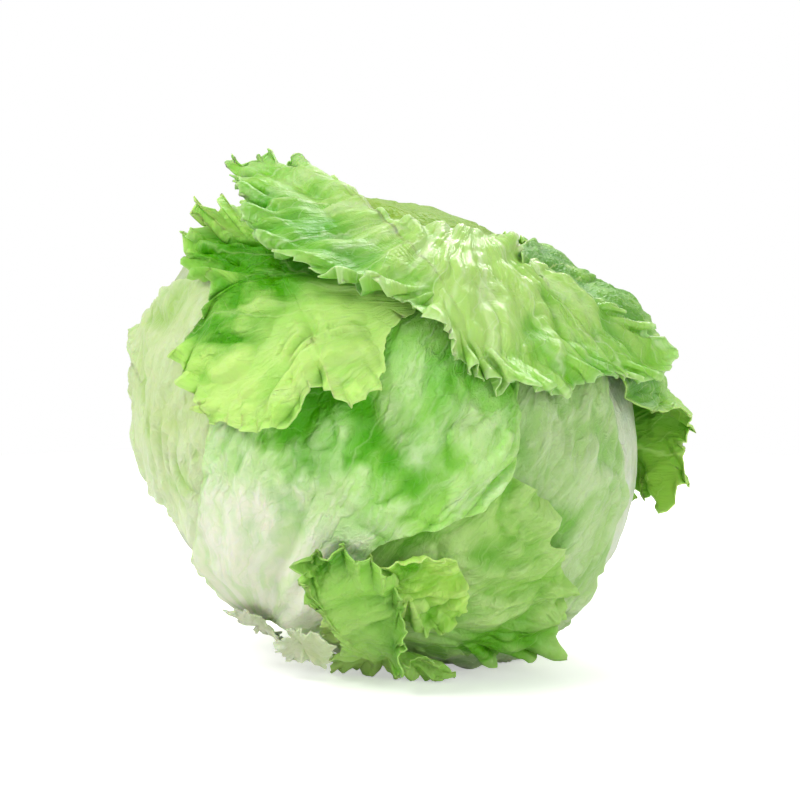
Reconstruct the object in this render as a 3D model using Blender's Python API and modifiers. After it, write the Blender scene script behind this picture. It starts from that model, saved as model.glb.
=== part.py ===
"""Head of iceberg lettuce lying on its side, stem to the lower left, with loose outer leaves.

Metres, +Z up. The origin is the point of the rest plane under the middle of the ball,
and -Y is the front. Every leaf is a sheet over the ball, given by the headings, lifts and
ruffles of its margin. The leaves are laid on from the inside out, and each one keeps clear
of all those below it.
"""
from math import cos, pi, sin

import bmesh
import bpy
import numpy as np
from mathutils import Vector

COLLECTION = "iceberg_lettuce"

# The ball: a spheroid that is short along the stem
HEAD_HEIGHT = 0.074
EQUATOR_RADIUS = 0.082
POLE_RADIUS = 0.0725
STEM_HEADING = (-81, -51)
STEM_RADIUS = 0.0135
STEM_INNER = 0.0645
STEM_OUTER = 0.0735
CORE_SHARE = 0.88
CORE_FLOOR = 0.0085
LAP_STEP = 0.0012

# The blades
BLADE = 0.0009
CLEARANCE = 0.0016
FALL = 0.2
BLEND = 0.0006
TOOTH = 0.0028
DEEPEST_NOTCH = 0.045

# Resolution of the laid-on surfaces and of the map of what lies below
MAP_STEP = 1.5
CONTROL_GAP = 0.006
CONTROL_ROWS = 21

# Rows of a blade from its middle to its margin, and how many margin steps one cell spans in each row
ROWS = (0, 0.2, 0.4, 0.58, 0.73, 0.85, 0.93, 1.0)
MERGED_BELOW = ((0.4, 4), (0.73, 2))

# How far in from the margin a lift and a ruffle reach, and how far the thick base of a rib reaches, degrees
LIFT_ZONE = 42
RUFFLE_ZONE = 15
RIB_ZONE = 45
PLEAT_ZONE = 30

WHITE_GREEN = (0.74, 0.80, 0.52)
PALE_GREEN = (0.60, 0.74, 0.34)
FRESH_GREEN = (0.40, 0.62, 0.16)
DEEP_GREEN = (0.24, 0.46, 0.09)
YELLOW_GREEN = (0.66, 0.76, 0.30)

# Each leaf, from the inside out:
#   seat     share of the ball's radius at which it lies
#   middle   heading (azimuth, elevation) from which every point of the margin can be seen
#   margin   (azimuth, elevation, lift mm, ruffle mm) once round the leaf
#   extras   steps: cells along the margin; rib: added thickness beside the stem, mm;
#            wave: length of a ruffle, mm; fan: heading that the pleats spread from;
#            pleats: how many would fill a whole turn there; depth: of a pleat, mm;
#            swells: round hills (azimuth, elevation, spread in degrees, height mm)
LEAVES = [
    ("crown_leaf", YELLOW_GREEN, 0.925, (165, 45),
     [(-150, 5), (-150, 35), (-120, 55), (-60, 60), (-10, 52), (40, 44), (80, 42), (112, 34), (130, 10), (170, -5)],
     {"steps": 28, "fan": (-100, 30), "pleats": 18, "depth": 0.8}),
    ("left_inner_leaf", WHITE_GREEN, 0.995, (-84, 0),
     [(-66, -42), (-52, -40), (-40, -24), (-36, 0), (-48, 26), (-82, 42), (-118, 36), (-136, 8), (-130, -22),
      (-112, -40), (-90, -38)],
     {"steps": 32, "rib": 1.2, "fan": (-82, -50), "pleats": 16, "depth": 0.7}),
    ("right_inner_leaf", WHITE_GREEN, 0.985, (92, -15),
     [(26, -44), (42, -12), (50, 12), (64, 36), (92, 46), (122, 30), (134, -8), (142, -42), (126, -58),
      (82, -64), (44, -60)],
     {"steps": 36, "fan": (20, -74), "pleats": 16, "depth": 0.7}),
    ("left_wrapper", WHITE_GREEN, 1.015, (-70, 10),
     [(-54, -27), (-67, -19), (-88, -12, 1), (-108, -4, 1), (-119, 9, 2), (-116, 17, 3, 1), (-98, 19, 5, 2),
      (-91, 27, 2, 1), (-72, 35, 1), (-50, 38), (-34, 30), (-26, 10), (-34, -14), (-46, -25)],
     {"steps": 40, "fan": (-66, -48), "pleats": 18, "depth": 0.8}),
    ("right_wrapper", PALE_GREEN, 0.99, (22, -40),
     [(-60, -54), (-34, -42), (-8, -28), (5, 2), (20, 28), (46, 36), (62, 26, 1), (59, 10, 1), (63, -8, 1),
      (64, -22, 1), (68, -38, 1), (88, -52), (128, -60), (-165, -64), (-118, -66), (-90, -66), (-68, -63)],
     {"steps": 44, "fan": (-50, -52), "pleats": 26, "depth": 0.8}),
    ("back_right_leaf", DEEP_GREEN, 0.99, (135, 12),
     [(72, 50, 2), (63, 44, 2), (61, 36, 3), (61, 28, 4), (60, 20, 5, 1), (60, 13, 7, 1), (64, 7, 7, 2),
      (74, 4, 7, 2), (83, 2, 9, 3), (90, -5, 17, 3), (89, -12, 16, 3), (84, -22, 10, 3), (92, -20, 7, 2),
      (104, -21, 3), (126, -34), (156, -48), (-175, -36), (178, 5), (168, 40), (140, 50), (98, 54)],
     {"steps": 72, "fan": (170, -10), "pleats": 20, "depth": 1.2, "swells": [(92, 20, 16, 12)]}),
    ("lower_right_leaf", PALE_GREEN, 1.0, (12, -38),
     [(-28, -44), (-18, -28), (-6, -12), (8, -2), (24, -2), (34, -8, 2, 1), (40, -17, 4, 2), (46, -30, 7, 2),
      (51, -40, 11, 3), (53, -45, 13, 4), (46, -48, 12, 4), (38, -50, 10, 3), (30, -52, 7, 2), (22, -54, 4, 1),
      (5, -57, 2), (-14, -58, 1), (-28, -54)],
     {"steps": 60, "fan": (-22, -42), "pleats": 22, "depth": 0.9}),
    ("front_leaf", PALE_GREEN, 1.0, (-10, 2),
     [(-64, -42), (-57, -28), (-47, -13), (-41, 4), (-38, 18), (-28, 32), (0, 38), (16, 33), (26, 24, 1),
      (29, 12, 1), (24, -3, 2), (18, -9, 2), (10, -13, 2), (0, -16, 2), (-5, -20, 2), (-8, -27, 1),
      (-11, -34, 1), (-17, -41, 1), (-28, -45, 1), (-42, -47), (-54, -46)],
     {"steps": 48, "rib": 1.8, "fan": (-56, -52), "pleats": 30, "depth": 1.1}),
    ("lower_curl", PALE_GREEN, 1.0, (4, -29),
     [(-20, -38), (-12, -27, 1), (0, -17, 3, 1), (7, -14, 5, 2), (13, -17, 6, 2), (17, -24, 7, 2), (19, -32, 8, 1),
      (15, -37, 9, 1), (6, -38, 8, 1), (-4, -40, 5), (-18, -44, 1)],
     {"steps": 32}),
    ("lower_left_leaf", FRESH_GREEN, 1.0, (-3, -49),
     [(-28, -58), (-14, -60, 2), (6, -56, 6, 1), (18, -53, 6, 1), (23, -50, 7, 1), (12, -47, 8), (4, -42, 8),
      (3, -30, 7), (0, -20, 6, 1), (-8, -14, 6, 2), (-16, -12, 6, 3), (-20, -17, 6, 3), (-19, -26, 5, 2),
      (-15, -36, 5, 1), (-17, -45, 4), (-28, -51)],
     {"steps": 56, "wave": 18}),
    ("torn_base_left", WHITE_GREEN, 1.0, (-50, -47),
     [(-63, -41, 4), (-50, -37, 3), (-40, -40, 2), (-34, -47, 2), (-40, -54, 3), (-52, -58, 2), (-58, -55, 1),
      (-58, -48, 2)],
     {"steps": 24, "wave": 11}),
    ("torn_base_right", WHITE_GREEN, 1.0, (-26, -44),
     [(-40, -46), (-30, -38, 2), (-20, -34, 3, 1), (-13, -36, 4, 1), (-12, -43, 4, 1), (-18, -50, 4, 1),
      (-28, -51, 3, 1), (-38, -51)],
     {"steps": 24, "wave": 11}),
    ("lip_leaf", FRESH_GREEN, 1.0, (-32, 42),
     [(-84, 48, 7, 3), (-76, 43, 8, 3), (-69, 38, 7, 3), (-58, 34, 6, 2), (-50, 31, 6, 2), (-51, 25, 6, 2),
      (-55, 18, 6, 2), (-50, 13, 6, 2), (-42, 7, 6, 2), (-32, 4, 6, 2), (-23, 5, 7, 2), (-19, 8, 8, 1),
      (-15, 13, 8, 1), (-11, 13, 9, 1), (-7, 10, 10, 2), (-3, 12, 10, 2), (0, 18, 7, 1), (1, 26, 4),
      (12, 35, 1), (24, 44), (18, 52), (-18, 59), (-64, 63), (-100, 56, 3, 1)],
     {"steps": 72, "fan": (14, 34), "pleats": 26, "depth": 1.2}),
    ("top_leaf", FRESH_GREEN, 1.0, (14, 38),
     [(2, 61, 3), (24, 60, 3), (44, 58, 3), (53, 53, 3), (56, 47, 3), (60, 40, 3), (65, 34, 3), (69, 29, 4),
      (73, 25, 5), (76, 20, 8), (77, 15, 10, 1), (72, 11, 11, 2), (64, 11, 10, 2), (56, 13, 9, 2), (49, 13, 9, 2),
      (43, 13, 8, 2), (35, 10, 8, 2), (28, 11, 8, 2), (19, 14, 8, 2), (15, 21, 9, 2), (11, 27, 10, 2),
      (5, 30, 10, 2), (-3, 32, 11, 2), (-12, 34, 13, 2), (-22, 37, 14, 2), (-33, 40, 14, 2), (-44, 45, 13, 2),
      (-54, 51, 12, 2), (-70, 56, 13, 2), (-97, 56, 15, 3), (-90, 63, 14, 3), (-76, 69, 11, 2), (-60, 73, 7, 1),
      (-26, 68, 4)],
     {"steps": 96, "fan": (45, 64), "pleats": 24, "depth": 1.3}),
    ("back_outer_leaf", FRESH_GREEN, 1.0, (-162, -4),
     [(-102, -44), (-110, -14, 1, 1), (-120, 12, 3, 2), (-138, 32, 6, 3), (-166, 42, 7, 3), (168, 38, 6, 3),
      (150, 18, 5, 3), (144, -12, 3, 2), (156, -40, 1), (-175, -56), (-124, -60), (-105, -54)],
     {"steps": 52, "wave": 28, "fan": (-110, -50), "pleats": 22, "depth": 1.2}),
]


def heading(azimuth, elevation):
    """Unit vector: azimuth 0 looks along -Y and 90 along +X, elevation is above the horizon."""
    a, e = np.radians(azimuth), np.radians(elevation)
    return np.stack([np.sin(a) * np.cos(e), -np.cos(a) * np.cos(e), np.sin(e)], -1)


def unit(v):
    return v / np.linalg.norm(v, axis=-1, keepdims=True)


def ease(x):
    x = np.clip(x, 0, 1)
    return x * x * (3 - 2 * x)


def degrees_between(d, e):
    return np.degrees(np.arccos(np.clip(d @ e, -1, 1)))


STEM = heading(*STEM_HEADING)


def ball_radius(d):
    along = (d @ STEM) ** 2
    return 1 / np.sqrt(along / POLE_RADIUS**2 + (1 - along) / EQUATOR_RADIUS**2)


def above_floor(r, d, height):
    """Shortens r wherever the point would come lower than this height."""
    return np.minimum(r, (HEAD_HEIGHT - height) / np.maximum(-d[..., 2], 1e-6))


def catmull(p, f):
    """Catmull-Rom curve between the middle two of four neighbours, at the share f of that step."""
    a, b, c, d = p
    return 0.5 * (2 * b + (c - a) * f + (2 * a - 5 * b + 4 * c - d) * f**2 + (3 * b - a - 3 * c + d) * f**3)


def round_loop(rows, t):
    """Smooth closed curve through the rows; t runs from 0 to 1 once round."""
    count = len(rows)
    x = np.mod(t, 1) * count
    i = np.floor(x).astype(int)
    return catmull([rows[(i + k) % count] for k in (-1, 0, 1, 2)], (x - i)[..., None])


def over_grid(grid, t, s):
    """Smooth reading of a grid that closes round in t and runs from the middle to the margin in s."""
    columns = round_loop(grid, t)
    last = grid.shape[1] - 1
    x = np.clip(s, 0, 1) * last
    i = np.minimum(x.astype(int), last - 1)
    taps = [np.take_along_axis(columns, np.clip(i + k, 0, last)[..., None], -1)[..., 0] for k in (-1, 0, 1, 2)]
    return catmull(taps, x - i)


class Leaf:
    """One leaf, as a function of t once round its margin and s from its middle to the margin."""

    def __init__(self, name, colour, seat, middle, margin, extras):
        self.name = name
        self.colour = colour
        self.seat = seat
        self.middle = heading(*middle)
        self.rib = extras.get("rib", 0) * 0.001
        self.wave = extras.get("wave", 24) * 0.001
        self.fan = heading(*extras.get("fan", STEM_HEADING))
        self.pleats = extras.get("pleats", 0)
        self.depth = extras.get("depth", 0) * 0.001
        self.swells = extras.get("swells", [])
        self.steps = extras["steps"]
        rows = np.array([[*heading(m[0], m[1]), *(tuple(m[2:]) + (0, 0))[:2]] for m in margin])
        fine = round_loop(rows, np.linspace(0, 1, 721))
        run = np.append(0, np.cumsum(np.linalg.norm(np.diff(fine[:, :3], axis=0), axis=1)))
        even = np.linspace(0, run[-1], 720, endpoint=False)
        self.edge = np.stack([np.interp(even, run, column) for column in fine.T], -1)
        self.length = run[-1] * EQUATOR_RADIUS
        self.ruffles = max(round(self.length / self.wave), 1)
        self.lying = None

    def directions(self, t, s):
        """Headings along great circles from the middle to the margin."""
        margin = unit(round_loop(self.edge, t)[..., :3])
        reach = np.arccos(np.clip(margin @ self.middle, -1, 1))
        away = unit(margin - (margin @ self.middle)[..., None] * self.middle)
        angle = (s * reach)[..., None]
        return np.cos(angle) * self.middle + np.sin(angle) * away, reach

    def thickness(self, d):
        """Thin blade, thicker where the rib comes off the stem."""
        return BLADE + self.rib * (1 - ease((degrees_between(d, STEM) - 12) / RIB_ZONE))

    def aim(self, t, s, d, reach):
        """Radius that the leaf would have with nothing below it: its seat, lift, ruffles and swells."""
        edge = round_loop(self.edge, t)
        run = 2 * np.pi * self.ruffles * t
        swing = 0.62 * np.sin(run + self.seat) + 0.38 * np.sin(2 * run + 1.3 * np.sin(2 * np.pi * t))
        inward = (1 - s) * reach
        lift = edge[..., 3] * ease(1 - inward / np.minimum(np.radians(LIFT_ZONE), reach))
        ruffle = edge[..., 4] * swing * ease(1 - inward / np.minimum(np.radians(RUFFLE_ZONE), reach))
        swell = sum(h * np.exp(-(degrees_between(d, heading(a, e)) / w) ** 2) for a, e, w, h in self.swells)
        return self.seat * ball_radius(d) + 0.001 * (lift + ruffle + swell)

    def pleat(self, d):
        """Height of the pleats, which spread like a fan and grow out of nothing at its centre."""
        side = unit(np.cross(self.fan, [0.3, 0.2, 1]))
        up = np.cross(side, self.fan)
        bearing = np.arctan2(d @ up, d @ side)
        far = degrees_between(d, self.fan)
        swing = np.cos(self.pleats * bearing + 1.5 * np.sin(2 * bearing) + far / 40)
        return self.depth * (0.5 + 0.5 * swing) * ease((far - 6) / PLEAT_ZONE)

    def radius(self, t, s, d, reach):
        low = over_grid(self.lying, t, s)
        high = self.aim(t, s, d, reach)
        r = 0.5 * (low + high + np.sqrt((low - high) ** 2 + BLEND**2)) + self.pleat(d)
        return above_floor(r, d, self.thickness(d))

    def points(self, t, s):
        d, reach = self.directions(t, s)
        return d * self.radius(t, s, d, reach)[..., None] + np.array([0, 0, HEAD_HEIGHT])


def disc(columns, rows):
    return np.meshgrid(np.arange(columns) / columns, np.linspace(0, 1, rows), indexing="ij")


def core_radius(d):
    """The dense heart, with the stepped laps of the leaves that close it."""
    turn = np.arctan2(d @ np.cross(STEM, [0, 0, 1]), d @ np.cross(STEM, [0, 1, 0]))
    laps = (turn * 1.5 / np.pi + 0.35 * (d @ STEM)) % 1
    return above_floor(CORE_SHARE * ball_radius(d) - LAP_STEP * laps, d, CORE_FLOOR)


def lay_leaves(leaves):
    """Lays each leaf over the map of all that lies below it, then adds it to the map."""
    wide, high = int(360 / MAP_STEP), int(180 / MAP_STEP)
    azimuth = (np.arange(wide) + 0.5) * MAP_STEP - 180
    elevation = (np.arange(high) + 0.5) * MAP_STEP - 90
    cells = heading(*np.meshgrid(azimuth, elevation)).reshape(-1, 3)
    tops = core_radius(cells)
    for leaf in leaves:
        t, s = disc(int(leaf.length / CONTROL_GAP) + 8, CONTROL_ROWS)
        d = leaf.directions(t, s)[0].reshape(-1, 3)
        base = (tops + CLEARANCE - 2 * FALL).astype(np.float32)
        slope = (2 * FALL * cells.T).astype(np.float32)
        need = np.concatenate([(part @ slope + base).max(1) for part in np.array_split(d.astype(np.float32), 40)])
        low = np.maximum(need.astype(float), leaf.seat * ball_radius(d)).reshape(t.shape)
        mild = low.copy()
        for _ in range(3):
            p = np.pad(np.pad(mild, ((1, 1), (0, 0)), mode="wrap"), ((0, 0), (1, 1)), mode="edge")
            mild = (p[:-2, 1:-1] + p[2:, 1:-1] + p[1:-1, :-2] + p[1:-1, 2:] + 4 * mild) / 8
            mild[:, 0] = mild[:, 0].mean()
        leaf.lying = np.maximum(mild, low - 0.0003)
        leaf.lying[:, 0] = leaf.lying[:, 0].max()
        t, s = disc(int(leaf.length / 0.0015), 70)
        d, reach = leaf.directions(t, s)
        r = leaf.radius(t, s, d, reach)
        p = d * r[..., None]
        across = np.cross(np.roll(p, -1, axis=0) - np.roll(p, 1, axis=0), np.gradient(p, axis=1))
        tilt = np.abs((across * d).sum(-1)) / np.maximum(np.linalg.norm(across, axis=-1), 1e-12)
        outer = r + leaf.thickness(d) / np.clip(np.where(s < 0.02, 1, tilt), 0.4, 1)
        column = ((np.degrees(np.arctan2(d[..., 0], -d[..., 1])) + 180) / MAP_STEP).astype(int) % wide
        row = np.clip(((np.degrees(np.arcsin(np.clip(d[..., 2], -1, 1))) + 90) / MAP_STEP).astype(int), 0, high - 1)
        np.maximum.at(tops, (row * wide + column).ravel(), outer.ravel())


def clear_scene():
    for existing in list(bpy.data.objects):
        bpy.data.objects.remove(existing, do_unlink=True)


def paint(obj, colour, roughness):
    material = bpy.data.materials.new(obj.name)
    material.use_nodes = True
    shader = material.node_tree.nodes["Principled BSDF"]
    shader.inputs["Base Color"].default_value = (*colour, 1)
    shader.inputs["Roughness"].default_value = roughness
    shader.inputs["Metallic"].default_value = 0
    obj.data.materials.append(material)


def add_object(name, bm, colour, roughness, collection):
    mesh = bpy.data.meshes.new(name)
    bm.to_mesh(mesh)
    bm.free()
    obj = bpy.data.objects.new(name, mesh)
    collection.objects.link(obj)
    paint(obj, colour, roughness)
    return obj


def leaf_net(steps):
    """Flat round net: s is the distance from its middle and t the share of a turn, coarser inwards."""
    bm = bmesh.new()
    last = len(ROWS) - 1
    bmesh.ops.create_grid(bm, x_segments=steps, y_segments=last, size=0.5)
    for v in bm.verts:
        v.co.x = (v.co.x + 0.5) * steps
        v.co.y = ROWS[round((v.co.y + 0.5) * last)]
    for limit, span in reversed(MERGED_BELOW):
        spare = [e for e in bm.edges
                 if abs(e.verts[0].co.x - e.verts[1].co.x) < 0.5
                 and round(e.verts[0].co.x) % span
                 and max(v.co.y for v in e.verts) < limit + 0.001]
        bmesh.ops.dissolve_edges(bm, edges=spare, use_verts=True)
    bmesh.ops.triangulate(bm, faces=bm.faces[:])
    for v in bm.verts:
        turn = 2 * pi * v.co.x / steps
        v.co.xy = v.co.y * cos(turn), v.co.y * sin(turn)
    bmesh.ops.remove_doubles(bm, verts=bm.verts[:], dist=0.00001)
    return bm


def add_leaf(leaf, collection):
    bm = leaf_net(leaf.steps)
    flat = np.array([v.co[:] for v in bm.verts])
    s = np.minimum(np.hypot(flat[:, 0], flat[:, 1]), 1)
    t = np.arctan2(flat[:, 1], flat[:, 0]) / (2 * pi) % 1
    place = np.round(t * leaf.steps)
    reach = leaf.directions(t, s)[1]
    notch = TOOTH * (place % 2) * (0.6 + 0.4 * np.sin(2.3 * place))
    notch = np.minimum(notch / (reach * EQUATOR_RADIUS), DEEPEST_NOTCH)
    s = np.where(s > 0.99, 1 - notch, s)
    rib = (leaf.thickness(leaf.directions(t, s)[0]) - BLADE) / max(leaf.rib, 1e-9)
    for v, p in zip(bm.verts, leaf.points(t, s)):
        v.co = p
    bm.normal_update()
    middle = Vector((0, 0, HEAD_HEIGHT))
    if sum(f.normal.dot(f.calc_center_median() - middle) for f in bm.faces) < 0:
        bmesh.ops.reverse_faces(bm, faces=bm.faces[:])
    obj = add_object(leaf.name, bm, leaf.colour, 0.42, collection)
    solid = obj.modifiers.new("blade", "SOLIDIFY")
    solid.thickness = BLADE + leaf.rib
    solid.offset = 1
    if leaf.rib:
        group = obj.vertex_groups.new(name="rib")
        for index, share in enumerate(rib):
            group.add([index], float(np.clip(share, 0, 1)), "REPLACE")
        solid.vertex_group = group.name
        solid.thickness_vertex_group = BLADE / (BLADE + leaf.rib)
    return obj


def add_heart(collection):
    bm = bmesh.new()
    bmesh.ops.create_icosphere(bm, subdivisions=4, radius=1)
    d = np.array([v.co[:] for v in bm.verts])
    d = unit(d)
    for v, p in zip(bm.verts, d * core_radius(d)[:, None]):
        v.co = p
        v.co.z += HEAD_HEIGHT
    return add_object("heart", bm, YELLOW_GREEN, 0.45, collection)


def add_stem(collection):
    """Short cut butt, a little narrower at the cut face."""
    bm = bmesh.new()
    depth = STEM_OUTER - STEM_INNER
    bmesh.ops.create_cone(bm, cap_ends=True, segments=24, radius1=STEM_RADIUS, radius2=STEM_RADIUS * 0.9, depth=depth)
    axis = Vector(STEM)
    turn = axis.to_track_quat("Z", "Y").to_matrix()
    bmesh.ops.rotate(bm, verts=bm.verts[:], cent=(0, 0, 0), matrix=turn)
    middle = axis * (0.5 * (STEM_INNER + STEM_OUTER))
    bmesh.ops.translate(bm, verts=bm.verts[:], vec=(middle.x, middle.y, middle.z + HEAD_HEIGHT))
    obj = add_object("stem", bm, WHITE_GREEN, 0.5, collection)
    edge = obj.modifiers.new("edge", "BEVEL")
    edge.width = 0.001
    edge.segments = 2
    return obj


def build():
    clear_scene()
    collection = bpy.data.collections.new(COLLECTION)
    bpy.context.scene.collection.children.link(collection)
    leaves = [Leaf(*row) for row in LEAVES]
    lay_leaves(leaves)
    add_heart(collection)
    add_stem(collection)
    for leaf in leaves:
        add_leaf(leaf, collection)


build()
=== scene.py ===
"""Looks of a head of iceberg lettuce that lies on its side with loose, frilly outer leaves.

Metres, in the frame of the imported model. Every leaf is a sheet over the ball, worked out as a
function of t once round its margin and s from its middle to the margin, so that the fine sheets
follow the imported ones. The fine sheets add teeth, frills, rolled tips, puckers, ribs and veins.
"""

import bpy
import numpy as np
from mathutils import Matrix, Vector


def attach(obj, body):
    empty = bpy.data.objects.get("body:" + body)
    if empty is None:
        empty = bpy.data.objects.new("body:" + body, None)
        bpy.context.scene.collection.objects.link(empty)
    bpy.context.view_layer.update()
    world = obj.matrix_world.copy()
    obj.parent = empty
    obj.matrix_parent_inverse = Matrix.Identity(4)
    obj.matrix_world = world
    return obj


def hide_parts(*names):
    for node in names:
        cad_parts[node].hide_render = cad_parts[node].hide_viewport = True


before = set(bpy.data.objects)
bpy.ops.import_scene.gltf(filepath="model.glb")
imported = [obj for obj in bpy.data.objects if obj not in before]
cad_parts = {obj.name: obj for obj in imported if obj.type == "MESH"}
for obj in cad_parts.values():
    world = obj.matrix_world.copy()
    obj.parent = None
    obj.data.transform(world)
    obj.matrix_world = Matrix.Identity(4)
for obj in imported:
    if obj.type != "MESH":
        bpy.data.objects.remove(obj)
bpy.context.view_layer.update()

# The ball and the laying of leaves over it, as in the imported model
HEAD_HEIGHT = 0.074
EQUATOR_RADIUS = 0.082
POLE_RADIUS = 0.0725
STEM_HEADING = (-81, -51)
CORE_SHARE = 0.88
CORE_FLOOR = 0.0085
LAP_STEP = 0.0012
BLADE = 0.0009
CLEARANCE = 0.0016
FALL = 0.2
BLEND = 0.0006
MAP_STEP = 1.5
CONTROL_GAP = 0.006
CONTROL_ROWS = 21
MAP_GAP = 0.0015
MAP_ROWS = 70
LIFT_ZONE = 42
RUFFLE_ZONE = 15
RIB_START = 12
RIB_ZONE = 45
FAN_CENTRE = 6
PLEAT_ZONE = 30

# The fine sheets: metres, and degrees for COVER_ZONE and CRUMPLE_ZONE
SHEET = 0.0005
ROW_CROWDING = 1.45
CUT_ZONE = 0.014
TUCK_ZONE = 0.013
COVER_ZONE = 5
COVERED_RELIEF = 0.0008
CRUMPLE_ZONE = 26
CREASE_SIZE = 0.0085
PILLOW_SIZE = 0.004
RIM_WIDTH = 0.0009
RELIEF_SPAN = 0.003
CORE_CREASE = 0.0012
SCATTER_ROW = np.array([12.9898, 78.233, 37.719])

# Veins: main ones once round the fan, and side ones for each radian of distance from it
MAIN_VEINS = 16
SIDE_VEINS = 13.0
MOTTLE = 0.9

# The cut stem, in metres
STEM_RADIUS = 0.0135
STEM_INNER = 0.0645
STEM_OUTER = 0.0735
STEM_RIM = 0.0012
STEM_DISH = 0.001

# The studio, in metres and degrees; lights are (name, place, aim, size, watts)
WORLD_FRONT = 0.3
WORLD_BACK = 0.75
FLOOR_RADIUS = 0.45
FLOOR_SIDES = 96
FLOOR_GLOW = 0.45
LIGHTS = [("back_right", (0.3, 0.72, 0.85), (0, 0, 0.09), (0.5, 0.3), 5),
          ("above_left", (-0.75, -0.45, 0.95), (0, 0, 0.07), (0.5, 0.5), 8),
          ("front_right", (0.6, -1.1, 0.45), (0, 0, 0.07), (0.7, 0.7), 6)]
LENS = 250
SENSOR = 36
VIEW_AIM = (0.0026, 0, 0.0821)
VIEW_WIDTH = 0.2576
VIEW_ELEVATION = 8

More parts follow.
